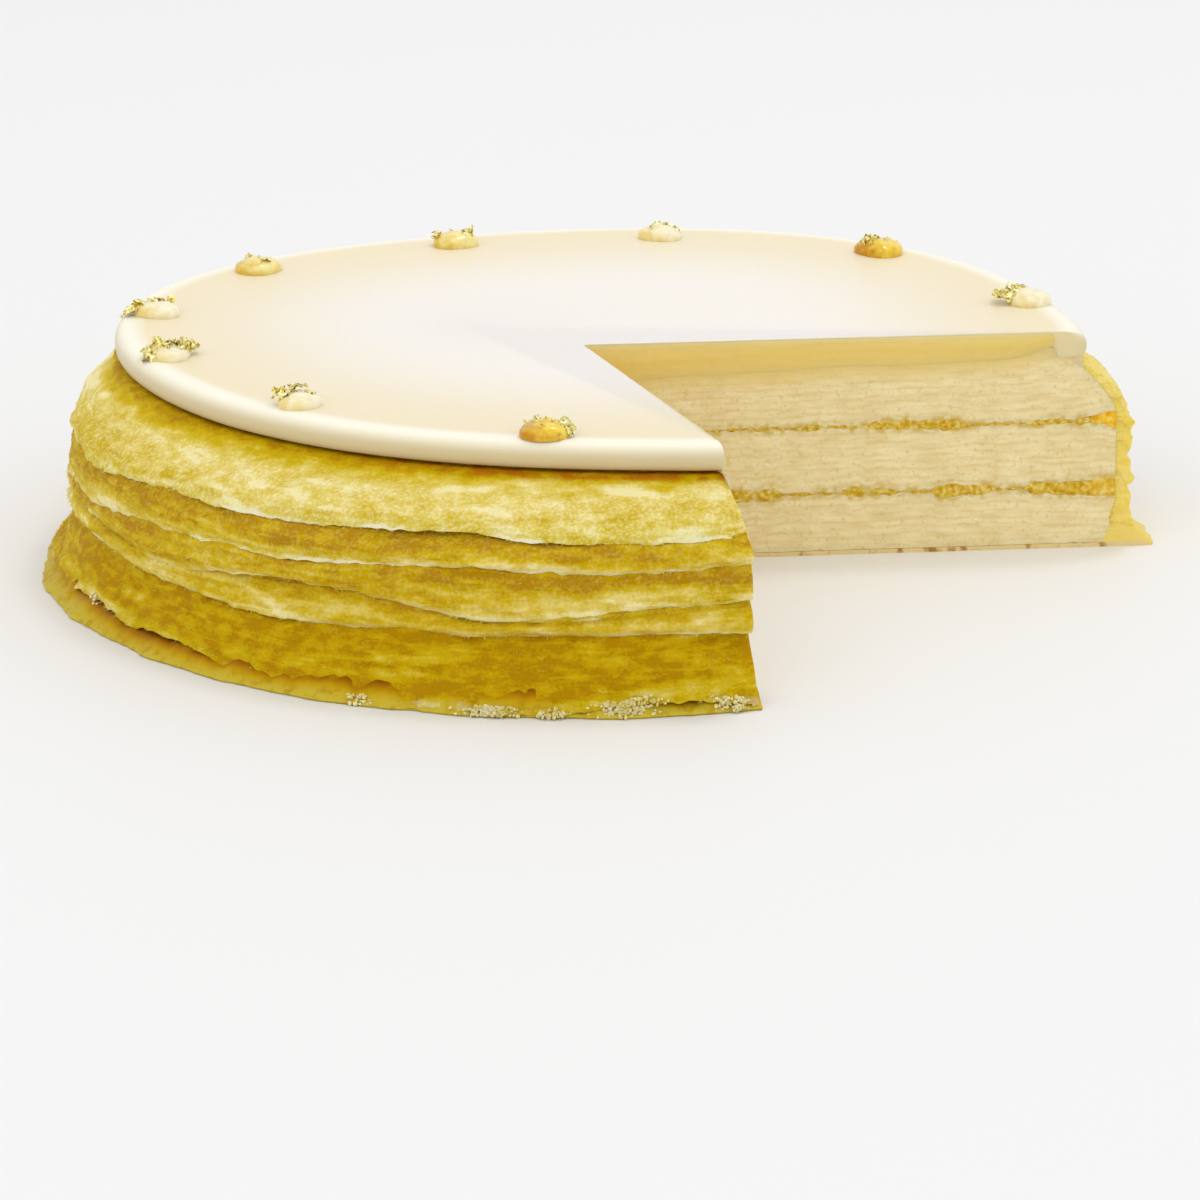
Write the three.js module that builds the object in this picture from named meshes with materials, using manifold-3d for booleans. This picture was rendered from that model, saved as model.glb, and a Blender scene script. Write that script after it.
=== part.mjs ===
// Mille crepe cake, cream topped, with one slice taken out.
// Millimetres, +Z up. The origin is where the cake's upright axis meets the surface it stands on.
// Angles are in degrees about that axis, from +X towards +Y. +Y is the back of the cake.

import * as THREE from 'three';
import { mergeVertices } from 'three/addons/utils/BufferGeometryUtils.js';
import Module from 'manifold-3d';

// Driving dimensions.
const CAKE_HEIGHT = 46.3;
const GAP = 0.3;
const SEGMENTS = 60;

// Levels of the horizontal layers, each as [bottom, top].
const BASE_CREPE = [0, 0.9];
const LOWER_STACK = [1.2, 11.6];
const LOWER_FILLING = [11.9, 14.2];
const MIDDLE_STACK = [14.5, 26.0];
const UPPER_FILLING = [26.3, 28.1];
const UPPER_STACK_BOTTOM = 28.4;

// The cream cap: a thin skin over the custard, with a deeper rounded rim round it.
const RIM_DEPTH = 5.3;
const RIM_WIDTH = 6.7;
const RIM_ROUND = 3.0;
const CAP_SKIN = 0.7;

// The custard under the skin: deepest in the middle, tapering to a blunt edge at the rim.
const CUSTARD_TOP = CAKE_HEIGHT - CAP_SKIN - GAP;
const CUSTARD_DEPTH_MIDDLE = 8.0;
const CUSTARD_DEPTH_EDGE = 5.0;

// Outlines seen from above: a mean radius with a few slow swells, as a hand-made cake has.
const CAP_OUTLINE = {
  radius: 101.3,
  swells: [
    { count: 1, by: 5.4, at: 95 },
    { count: 2, by: 3.0, at: -34 },
    { count: 3, by: 2.6, at: -52 },
    { count: 4, by: 2.2, at: -33 },
  ],
};
const BELLY_OUTLINE = {
  radius: 109.9,
  swells: [
    { count: 1, by: 3.1, at: 174 },
    { count: 2, by: 1.2, at: 90 },
  ],
};
const FOOT_OUTLINE = {
  radius: 117.5,
  swells: [
    { count: 1, by: 4.0, at: -150 },
    { count: 3, by: 1.6, at: -120 },
  ],
};

// The side under the draped crepes.
const SHOULDER_TOP = CAKE_HEIGHT - RIM_DEPTH - GAP;
const SHOULDER_BOTTOM = 30;
const SHOULDER_SETBACK = 1.5;
const FOOT_FLARE_START = 15;
const FOOT_FLARE_POWER = 2.2;
const FOOT_SETBACK = 2.5;
const STACK_SETBACK = 2.2;

// Draped crepe edges, top to bottom: the mean height of each hem and how it waves.
const DRAPE_THICKNESS = 1.0;
const DRAPE_TUCK = 3;
const DRAPE_TOP_OFFSET = -0.9;
const DRAPE_HEM_OFFSET = 2.0;
const HEM_CLEARANCE = 2;
const DRAPE_STEPS = 3;
const HEMS = [
  { height: 30.2, waves: [{ count: 2, by: 1.7, at: -105 }, { count: 11, by: 0.3, at: 20 }] },
  { height: 21.5, waves: [{ count: 1, by: 5.5, at: -65 }, { count: 9, by: 0.4, at: 10 }] },
  { height: 18.3, waves: [{ count: 8, by: 1.9, at: -123 }] },
  { height: 13.2, waves: [{ count: 5, by: 0.9, at: -88 }] },
  { height: 3.4, waves: [{ count: 6, by: 1.1, at: -85 }, { count: 15, by: 0.6, at: -85 }] },
];

// The slice that is missing: its point, near the axis, and the directions of its two cuts.
const SLICE_POINT = [-7.1, -10.1];
const SLICE_FRONT_CUT = -71.7;
const SLICE_BACK_CUT = 6.6;
const SLICE_REACH = 200;
const SLICE_CLEARANCE = 10;

// Gel drops near the rim: direction, distance in from the cap's edge, width and height.
const DROPS = [
  { at: 170, inset: 8.4, width: 9.2, height: 2.9 },
  { at: -167, inset: 7.2, width: 9.0, height: 2.6 },
  { at: -136, inset: 8.6, width: 9.6, height: 2.7 },
  { at: -99.5, inset: 6.4, width: 10.2, height: 3.0 },
  { at: 143, inset: 11.0, width: 9.8, height: 3.0 },
  { at: 113, inset: 12.8, width: 9.4, height: 3.1 },
  { at: 84, inset: 13.6, width: 9.0, height: 2.9 },
  { at: 53, inset: 10.4, width: 10.7, height: 3.2 },
  { at: 18, inset: 6.2, width: 10.0, height: 3.0 },
];
const DROP_SIDES = 12;

const COLOURS = {
  cream: { color: 0xfaf1dc, roughness: 0.35 },
  custard: { color: 0xe6c86c, roughness: 0.45 },
  crepeStack: { color: 0xe0cf9b, roughness: 0.75 },
  filling: { color: 0xc9ab38, roughness: 0.8 },
  drapedCrepe: { color: 0xd2b240, roughness: 0.6 },
  baseCrepe: { color: 0xc79a2c, roughness: 0.7 },
  gel: { color: 0xe3b04a, roughness: 0.08 },
};

const wasm = await Module();
wasm.setup();

const radians = THREE.MathUtils.degToRad;
const lerp = THREE.MathUtils.lerp;

// A mean value with cosine waves round the cake.
function waved(mean, waves, angle) {
  return waves.reduce((sum, wave) => sum + wave.by * Math.cos(radians(wave.count * (angle - wave.at))), mean);
}

const capRadius = (angle) => waved(CAP_OUTLINE.radius, CAP_OUTLINE.swells, angle);
const bellyRadius = (angle) => waved(BELLY_OUTLINE.radius, BELLY_OUTLINE.swells, angle);
const flangeRadius = (angle) => waved(FOOT_OUTLINE.radius, FOOT_OUTLINE.swells, angle);

// The rounded side of the cake: a shoulder under the cap, an upright belly and a flared foot.
function sideRadius(angle, z) {
  const belly = bellyRadius(angle);
  if (z > SHOULDER_BOTTOM) {
    const top = capRadius(angle) - SHOULDER_SETBACK;
    const down = THREE.MathUtils.clamp((SHOULDER_TOP - z) / (SHOULDER_TOP - SHOULDER_BOTTOM), 0, 1);
    const roundness = 0.65 - 0.15 * Math.cos(radians(angle - 135));
    return lerp(top, belly, Math.pow(down, roundness));
  }
  const foot = flangeRadius(angle) - FOOT_SETBACK;
  const flare = Math.max(0, (FOOT_FLARE_START - z) / FOOT_FLARE_START);
  return lerp(belly, foot, Math.pow(flare, FOOT_FLARE_POWER));
}

// Sweeps a section round the axis. sectionAt(angle) gives [radius, height] points, anticlockwise
// as seen with the axis on the left. A disc's section starts and ends on the axis.
function sweep(sectionAt, isDisc) {
  const positions = [];
  const indices = [];
  const count = sectionAt(0).length;
  for (let i = 0; i < SEGMENTS; i += 1) {
    const angle = (360 * i) / SEGMENTS;
    for (const [radius, z] of sectionAt(angle)) {
      positions.push(radius * Math.cos(radians(angle)), radius * Math.sin(radians(angle)), z);
    }
  }
  const spans = isDisc ? count - 1 : count;
  for (let i = 0; i < SEGMENTS; i += 1) {
    const here = i * count;
    const next = ((i + 1) % SEGMENTS) * count;
    for (let j = 0; j < spans; j += 1) {
      const up = (j + 1) % count;
      if (!(isDisc && j === 0)) {
        indices.push(here + j, next + j, next + up);
      }
      if (!(isDisc && j === spans - 1)) {
        indices.push(here + j, next + up, here + up);
      }
    }
  }
  const geometry = new THREE.BufferGeometry();
  geometry.setAttribute('position', new THREE.Float32BufferAttribute(positions, 3));
  geometry.setIndex(indices);
  return geometry;
}

function toManifold(geometry) {
  const bare = geometry.clone();
  bare.deleteAttribute('normal');
  bare.deleteAttribute('uv');
  const merged = mergeVertices(bare);
  return new wasm.Manifold(new wasm.Mesh({
    numProp: 3,
    vertProperties: new Float32Array(merged.getAttribute('position').array),
    triVerts: new Uint32Array(merged.getIndex().array),
  }));
}

function toGeometry(solid) {
  const mesh = solid.getMesh();
  const geometry = new THREE.BufferGeometry();
  geometry.setAttribute('position', new THREE.BufferAttribute(new Float32Array(mesh.vertProperties), 3));
  geometry.setIndex(new THREE.BufferAttribute(new Uint32Array(mesh.triVerts), 1));
  geometry.computeVertexNormals();
  return geometry;
}

// The wedge of the missing slice, taller than the cake.
function sliceWedge() {
  const [x, y] = SLICE_POINT;
  const outline = new THREE.Shape();
  outline.moveTo(x, y);
  for (const cut of [SLICE_FRONT_CUT, SLICE_BACK_CUT]) {
    outline.lineTo(x + SLICE_REACH * Math.cos(radians(cut)), y + SLICE_REACH * Math.sin(radians(cut)));
  }
  outline.closePath();
  const depth = CAKE_HEIGHT + 2 * SLICE_CLEARANCE;
  const wedge = new THREE.ExtrudeGeometry(outline, { depth, bevelEnabled: false });
  wedge.translate(0, 0, -SLICE_CLEARANCE);
  return wedge;
}

const slice = toManifold(sliceWedge());

function named(name, geometry, look) {
  const mesh = new THREE.Mesh(geometry, new THREE.MeshStandardMaterial({ ...look, metalness: 0 }));
  mesh.name = name;
  return mesh;
}

// A layer or skin of the whole cake, with the slice cut out of it.
function slicedLayer(name, sectionAt, isDisc, look) {
  const whole = toManifold(sweep(sectionAt, isDisc));
  return named(name, toGeometry(whole.subtract(slice)), look);
}

// Height of the custard's underside at a fraction of the way out to the cap's edge.
function custardUnderside(outward) {
  const depth = lerp(CUSTARD_DEPTH_MIDDLE, CUSTARD_DEPTH_EDGE, Math.sqrt(outward));
  return CUSTARD_TOP - depth;
}

function custardSection(angle) {
  const edge = capRadius(angle) - RIM_WIDTH;
  return [
    [0, custardUnderside(0)],
    [0.3 * edge, custardUnderside(0.3)],
    [0.65 * edge, custardUnderside(0.65)],
    [edge - 5, custardUnderside(0.95)],
    [edge - 1.5, CUSTARD_TOP - 3.6],
    [edge, CUSTARD_TOP - 1.6],
    [edge - 0.7, CUSTARD_TOP - 0.2],
    [edge - 3, CUSTARD_TOP],
    [0, CUSTARD_TOP],
  ];
}

function creamCapSection(angle) {
  const rim = capRadius(angle);
  const inner = rim - RIM_WIDTH;
  const bottom = CAKE_HEIGHT - RIM_DEPTH;
  const roundSteps = 3;
  const section = [
    [0, CUSTARD_TOP + GAP],
    [inner - 2.8, CUSTARD_TOP + GAP],
    [inner - 0.4, CUSTARD_TOP + 0.2],
    [inner + 0.4, CUSTARD_TOP - 1.6],
    [inner - 1.0, CUSTARD_TOP - 4.1],
    [inner - 0.6, bottom],
    [rim - 1.6, bottom],
    [rim - 0.4, bottom + 0.8],
  ];
  for (let i = 0; i <= roundSteps; i += 1) {
    const turn = radians((90 * i) / roundSteps);
    section.push([
      rim - RIM_ROUND * (1 - Math.cos(turn)),
      CAKE_HEIGHT - RIM_ROUND * (1 - Math.sin(turn)),
    ]);
  }
  section.push([0, CAKE_HEIGHT]);
  return section;
}

// A block of crepes and cream between two flat levels.
function stackSection(levels) {
  const [bottom, top] = levels;
  const middle = (bottom + top) / 2;
  return (angle) => [
    [0, bottom],
    [sideRadius(angle, bottom) - STACK_SETBACK, bottom],
    [sideRadius(angle, middle) - STACK_SETBACK, middle],
    [sideRadius(angle, top) - STACK_SETBACK, top],
    [0, top],
  ];
}

// The top block of crepes: a shoulder outside, and dished on top where the custard sits.
function upperStackSection(angle) {
  const edge = capRadius(angle) - RIM_WIDTH;
  const neck = sideRadius(angle, SHOULDER_TOP) - STACK_SETBACK;
  const shoulder = [0, 0.2, 0.45, 0.75].map((up) => lerp(UPPER_STACK_BOTTOM, SHOULDER_TOP, up));
  return [
    [0, UPPER_STACK_BOTTOM],
    ...shoulder.map((z) => [sideRadius(angle, z) - STACK_SETBACK, z]),
    [neck, SHOULDER_TOP],
    [edge - 1.5, SHOULDER_TOP],
    [edge - 5, custardUnderside(0.95) - GAP],
    [0.65 * edge, custardUnderside(0.65) - GAP],
    [0.3 * edge, custardUnderside(0.3) - GAP],
    [0, custardUnderside(0) - GAP],
  ];
}

function baseCrepeSection(angle) {
  const [bottom, top] = BASE_CREPE;
  const edge = flangeRadius(angle);
  return [
    [0, bottom],
    [edge - 0.3, bottom],
    [edge, top / 2],
    [edge - 1, top],
    [0, top],
  ];
}

// Height of a hem at an angle, always a little lower than the hem above it.
function hemHeight(index, angle) {
  const { height, waves } = HEMS[index];
  const own = waved(height, waves, angle);
  return index === 0 ? own : Math.min(own, hemHeight(index - 1, angle) - HEM_CLEARANCE);
}

// One draped crepe edge: tucked under the one above, it hangs down the side and flares at its hem.
function drapeSection(index) {
  return (angle) => {
    const top = index === 0 ? SHOULDER_TOP - GAP : hemHeight(index - 1, angle) + DRAPE_TUCK;
    const hem = hemHeight(index, angle);
    const outer = [];
    const inner = [];
    for (let i = 0; i <= DRAPE_STEPS; i += 1) {
      const down = i / DRAPE_STEPS;
      const z = lerp(top, hem, down);
      const offset = lerp(DRAPE_TOP_OFFSET, DRAPE_HEM_OFFSET, THREE.MathUtils.smoothstep(down, 0, 1));
      const radius = sideRadius(angle, z) + offset;
      outer.unshift([radius, z]);
      inner.push([radius - DRAPE_THICKNESS, z]);
    }
    return [...outer, ...inner];
  };
}

// A gel drop: a low dome with a rounded foot, resting on the cream.
function gelDrop(name, drop) {
  const radius = drop.width / 2;
  const profile = [
    [0, 0],
    [0.86, 0],
    [1, 0.22],
    [0.95, 0.5],
    [0.74, 0.8],
    [0.4, 0.96],
    [0, 1],
  ].map(([out, up]) => new THREE.Vector2(out * radius, up * drop.height));
  const dome = new THREE.LatheGeometry(profile, DROP_SIDES);
  dome.rotateX(Math.PI / 2);
  const mesh = named(name, toGeometry(toManifold(dome)), COLOURS.gel);
  const distance = capRadius(drop.at) - drop.inset;
  mesh.position.set(
    distance * Math.cos(radians(drop.at)),
    distance * Math.sin(radians(drop.at)),
    CAKE_HEIGHT + GAP,
  );
  return mesh;
}

function layers() {
  const group = new THREE.Group();
  group.add(
    slicedLayer('base_crepe', baseCrepeSection, true, COLOURS.baseCrepe),
    slicedLayer('lower_crepe_stack', stackSection(LOWER_STACK), true, COLOURS.crepeStack),
    slicedLayer('lower_filling', stackSection(LOWER_FILLING), true, COLOURS.filling),
    slicedLayer('middle_crepe_stack', stackSection(MIDDLE_STACK), true, COLOURS.crepeStack),
    slicedLayer('upper_filling', stackSection(UPPER_FILLING), true, COLOURS.filling),
    slicedLayer('upper_crepe_stack', upperStackSection, true, COLOURS.crepeStack),
    slicedLayer('custard', custardSection, true, COLOURS.custard),
    slicedLayer('cream_cap', creamCapSection, true, COLOURS.cream),
  );
  return group;
}

function drapes() {
  const group = new THREE.Group();
  HEMS.forEach((hem, index) => {
    group.add(slicedLayer(`draped_crepe_${index + 1}`, drapeSection(index), false, COLOURS.drapedCrepe));
  });
  return group;
}

function drops() {
  const group = new THREE.Group();
  DROPS.forEach((drop, index) => {
    group.add(gelDrop(`gel_drop_${index + 1}`, drop));
  });
  return group;
}

const cake = new THREE.Group();
cake.add(layers(), drapes(), drops());

export default cake;
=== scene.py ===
"""Looks of the crepe cake: detailed layers, draped crepe edges, cream cap, gel drops and gold leaf."""
import math

import bmesh
import bpy
import numpy as np
from mathutils import Euler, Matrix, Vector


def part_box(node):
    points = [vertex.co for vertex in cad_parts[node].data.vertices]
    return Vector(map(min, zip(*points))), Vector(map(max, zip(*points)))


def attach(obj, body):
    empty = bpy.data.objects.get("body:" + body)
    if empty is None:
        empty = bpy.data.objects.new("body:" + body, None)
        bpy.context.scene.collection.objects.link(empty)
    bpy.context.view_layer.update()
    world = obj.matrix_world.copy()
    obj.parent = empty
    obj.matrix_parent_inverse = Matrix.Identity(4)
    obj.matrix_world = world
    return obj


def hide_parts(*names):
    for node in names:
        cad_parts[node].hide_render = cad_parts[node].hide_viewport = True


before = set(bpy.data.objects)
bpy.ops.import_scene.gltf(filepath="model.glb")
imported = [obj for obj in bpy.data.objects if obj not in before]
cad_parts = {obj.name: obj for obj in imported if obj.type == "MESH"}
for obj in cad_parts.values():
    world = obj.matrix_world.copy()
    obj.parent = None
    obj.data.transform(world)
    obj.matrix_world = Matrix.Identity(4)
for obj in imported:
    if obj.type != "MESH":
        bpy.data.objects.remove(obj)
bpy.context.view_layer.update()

# Meshes are worked out in millimetres about the cake's axis, and written in metres.
MM = 0.001
BODY = "root"

# The CAD layers are polygons with this many sections round the axis.
SECTIONS = 60
SECTION_STEP = 360 / SECTIONS
# Beside the back cut the foot stands out less: by how much, up to what height, and how far round.
FOOT_TRIM = 6.0
FOOT_TRIM_HEIGHT = 13.0
FOOT_TRIM_ANGLE = 44.0

# How finely the meshes are divided.
WALL_COLUMNS = 420
FACE_COLUMNS = 260
DRAPE_COLUMNS = 1100
DRAPE_ROWS = 31
# Rows of a drape's outer surface to each row of its inner one.
INNER_STEP = 5

LAYERS = ("lower_crepe_stack", "lower_filling", "middle_crepe_stack", "upper_filling", "upper_crepe_stack")
DRAPES = tuple(f"draped_crepe_{i}" for i in range(1, 6))
# For each drape, top first: how bright its hem is, how ragged, how frosted, the shares of the way down
# where its colour is given, and how deep the colour is there.
DRAPE_TRAITS = (
    (1.0, 0.9, 0.4, (0.0, 0.13, 0.3, 0.45, 0.6, 0.8, 1.0), (0.95, 0.62, 0.28, 0.26, 0.4, 0.5, 0.54)),
    (1.0, 0.9, 0.1, (0.3, 0.5, 0.75, 1.0), (1.35, 1.15, 0.75, 0.33)),
    (0.5, 0.6, 0.1, (0.3, 0.5, 0.75, 1.0), (1.1, 0.85, 0.6, 0.6)),
    (0.25, 0.6, 0.06, (0.3, 0.5, 0.75, 1.0), (0.9, 0.7, 0.48, 0.54)),
    (0.35, 1.3, 0.0, (0.3, 0.5, 0.75, 1.0), (1.2, 1.05, 0.9, 0.72)),
)


# ---------------------------------------------------------------- noise

def hashed(cells, seed):
    """A fixed number from -1 to 1 for each whole-number cell."""
    x, y, z = (cells[:, i].astype(np.int64) for i in range(3))
    mixed = (x * 374761393 + y * 668265263 + z * 1274126177 + seed * 974711) & 0xFFFFFFFF
    mixed = ((mixed ^ (mixed >> 13)) * 1103515245) & 0xFFFFFFFF
    mixed = (mixed ^ (mixed >> 16)) & 0xFFFFFFFF
    return mixed / 0x7FFFFFFF - 1


def noise(points, size, seed=0):
    """Smooth noise from -1 to 1 at each point, with lumps as long as size along each axis."""
    scaled = np.asarray(points, float) / size
    cell = np.floor(scaled)
    f = scaled - cell
    f = f * f * f * (f * (f * 6 - 15) + 10)
    total = np.zeros(len(scaled))
    for corner in np.ndindex(2, 2, 2):
        corner = np.array(corner)
        weight = np.prod(np.where(corner, f, 1 - f), axis=1)
        total += weight * hashed(cell + corner, seed)
    return total


def fractal(points, size, octaves=3, seed=0):
    """Noise with finer and fainter noise on top, still about -1 to 1."""
    total = np.zeros(len(points))
    weight = 1.0
    for octave in range(octaves):
        total += weight * noise(points, np.asarray(size) / 2 ** octave, seed + octave)
        weight /= 2
    return total / (2 - 2 * weight)


def smoothstep(low, high, value):
    t = np.clip((value - low) / (high - low), 0, 1)
    return t * t * (3 - 2 * t)


def lerp(a, b, t):
    return a + (b - a) * t


# ---------------------------------------------------------------- reading the frame

def node_points(node):
    """A CAD node's vertices, in millimetres."""
    return np.array([v.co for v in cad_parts[node].data.vertices]) / MM


def heights(node):
    """The lowest and highest level of a CAD node, in millimetres."""
    low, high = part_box(node)
    return low.z / MM, high.z / MM


def find_cuts(node):
    """The slice's point and the directions of its two cuts, from the two big upright faces of a layer."""
    areas = {}
    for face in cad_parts[node].data.polygons:
        if abs(face.normal.z) > 0.02:
            continue
        key = round(math.degrees(math.atan2(face.normal.y, face.normal.x)))
        total, normal, centre = areas.get(key, (0, np.zeros(2), np.zeros(2)))
        flat_normal = np.array(face.normal)[:2]
        flat_centre = np.array(face.center)[:2] / MM
        areas[key] = (total + face.area, normal + face.area * flat_normal, centre + face.area * flat_centre)
    widest = sorted(areas.values(), key=lambda entry: -entry[0])[:2]
    normals = [normal / np.linalg.norm(normal) for _, normal, _ in widest]
    centres = [centre / total for total, _, centre in widest]
    point = np.linalg.solve(np.array(normals), [n @ c for n, c in zip(normals, centres)])
    ways = [c - point for c in centres]
    angles = sorted(math.degrees(math.atan2(way[1], way[0])) for way in ways)
    return point, angles[1], angles[0] + 360


SLICE_POINT, BACK_CUT, FRONT_CUT = find_cuts("lower_crepe_stack")


def unit(degrees):
    return np.stack([np.cos(np.radians(degrees)), np.sin(np.radians(degrees))], -1)


def from_slice_point(direction, radius):
    """How far along a direction from the slice's point the distance from the axis is radius."""
    along = unit(direction) @ SLICE_POINT
    return -along + np.sqrt(along ** 2 - SLICE_POINT @ SLICE_POINT + np.asarray(radius) ** 2)


def corner_angle(cut, radius):
    """Angle about the axis of the point where a cut meets that radius, from 0 to 360."""
    reach = from_slice_point(cut, radius)[..., None]
    x, y = np.moveaxis(SLICE_POINT + reach * unit(cut), -1, 0)
    return np.degrees(np.arctan2(y, x)) % 360


def section_points(node):
    """The [radius, height] points of a CAD layer at each section that the slice leaves whole."""
    points = node_points(node)
    radius = np.hypot(points[:, 0], points[:, 1])
    angle = np.degrees(np.arctan2(points[:, 1], points[:, 0])) % 360
    section = np.round(angle / SECTION_STEP).astype(int)
    on_section = (np.abs(angle - section * SECTION_STEP) < 0.02) & (radius > 1)
    outermost = radius.max()
    first = math.ceil(corner_angle(BACK_CUT, outermost) / SECTION_STEP)
    last = math.floor(corner_angle(FRONT_CUT, outermost) / SECTION_STEP)
    found = {}
    for k in range(first, last + 1):
        here = on_section & (section == k)
        found[k] = np.stack([radius[here], points[here, 2]], 1)
    return found


class Around:
    """Values known at the sections round the cake, read at any angle on a smooth curve."""

    def __init__(self, known):
        first, last = min(known), max(known)
        values = []
        for k in range(SECTIONS):
            if first <= k <= last:
                values.append(known[k])
            else:
                past = (k - last) % SECTIONS
                start, end = np.array(known[last], float), np.array(known[first], float)
                values.append(lerp(start, end, past / (SECTIONS - last + first)))
        self.values = np.array(values, float)

    def __call__(self, degrees):
        place = np.asarray(degrees, float) / SECTION_STEP
        k = np.floor(place).astype(int)
        a, b, c, d = (self.values[(k + step) % SECTIONS] for step in (-1, 0, 1, 2))
        t = (place - k).reshape(place.shape + (1,) * (self.values.ndim - 1))
        return b + 0.5 * t * (c - a + t * (2 * a - 5 * b + 4 * c - d + t * (3 * (b - c) + d - a)))


def outline(node):
    """The outer radius of a CAD layer, as a smooth curve round the cake."""
    return Around({k: points[:, 0].max() for k, points in section_points(node).items()})


CAP_RADIUS = outline("cream_cap")
FLANGE_RADIUS = outline("base_crepe")


def wall_table(levels):
    """The radius of the crepe stacks' outer wall at each of the levels, round the cake."""
    profiles = {}
    for node in LAYERS:
        for k, points in section_points(node).items():
            profiles.setdefault(k, []).append(points)
    table = {}
    for k, parts in profiles.items():
        points = np.concatenate(parts)
        steps = np.unique(np.round(points[:, 1], 2))
        radii = [points[np.abs(points[:, 1] - z) < 0.02, 0].max() for z in steps]
        outer = [(z, r) for z, r in zip(steps, radii) if r > CAP_RADIUS(k * SECTION_STEP) - 6]
        table[k] = np.interp(levels, *np.array(outer).T)
    return Around(table)


WALL_LEVELS = np.arange(0, 42, 0.5)
WALL_TABLE = wall_table(WALL_LEVELS)


def foot_trim(angle, z):
    """How much nearer the axis the foot is beside the back cut."""
    return FOOT_TRIM * smoothstep(FOOT_TRIM_HEIGHT, 0, z) * smoothstep(FOOT_TRIM_ANGLE, 8, angle)


def wall_radius(angle, z):
    """The radius of the stacks' outer wall at an angle and a height."""
    place = np.clip(z / WALL_LEVELS[1], 0, len(WALL_LEVELS) - 1.001)
    row = np.floor(place).astype(int)
    radii = WALL_TABLE(angle)
    here = np.take_along_axis(radii, row[:, None], 1)[:, 0]
    above = np.take_along_axis(radii, row[:, None] + 1, 1)[:, 0]
    return lerp(here, above, place - row) - foot_trim(angle, z)


# ---------------------------------------------------------------- meshes

def make_piece(name, vertices, faces, material, replaces, attributes=None, sharp=40):
    """A smooth-shaded piece from vertices in millimetres. attributes are numbers for each vertex."""
    mesh = bpy.data.meshes.new(name)
    mesh.from_pydata((np.asarray(vertices) * MM).tolist(), [], faces)
    mesh.validate()
    for key, values in (attributes or {}).items():
        layer = mesh.attributes.new(key, "FLOAT", "POINT")
        layer.data.foreach_set("value", np.asarray(values, np.float32))
    mesh.materials.append(material)
    mesh.shade_smooth()
    mesh.set_sharp_from_angle(angle=math.radians(sharp))
    mesh.update()
    piece = bpy.data.objects.new(name, mesh)
    bpy.context.scene.collection.objects.link(piece)
    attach(piece, BODY)
    if replaces:
        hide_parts(*replaces)
    return piece


def grid_faces(columns, rows, closed=False):
    """Four-sided faces of a grid whose vertices run up the rows of one column after another."""
    spans = columns if closed else columns - 1
    i, j = np.meshgrid(np.arange(spans), np.arange(rows - 1), indexing="ij")
    i, j = i.ravel(), j.ravel()
    after = (i + 1) % columns
    quads = [i * rows + j, after * rows + j, after * rows + j + 1, i * rows + j + 1]
    return np.stack(quads, 1).tolist()


def cut_fractions(count):
    """Places along a cut, from near the slice's point to near the outside."""
    return np.arange(1, count) / count


# How far from the slice's point the middles of a layer's underside and top lie.
FAN_REACH = 30.0


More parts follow.
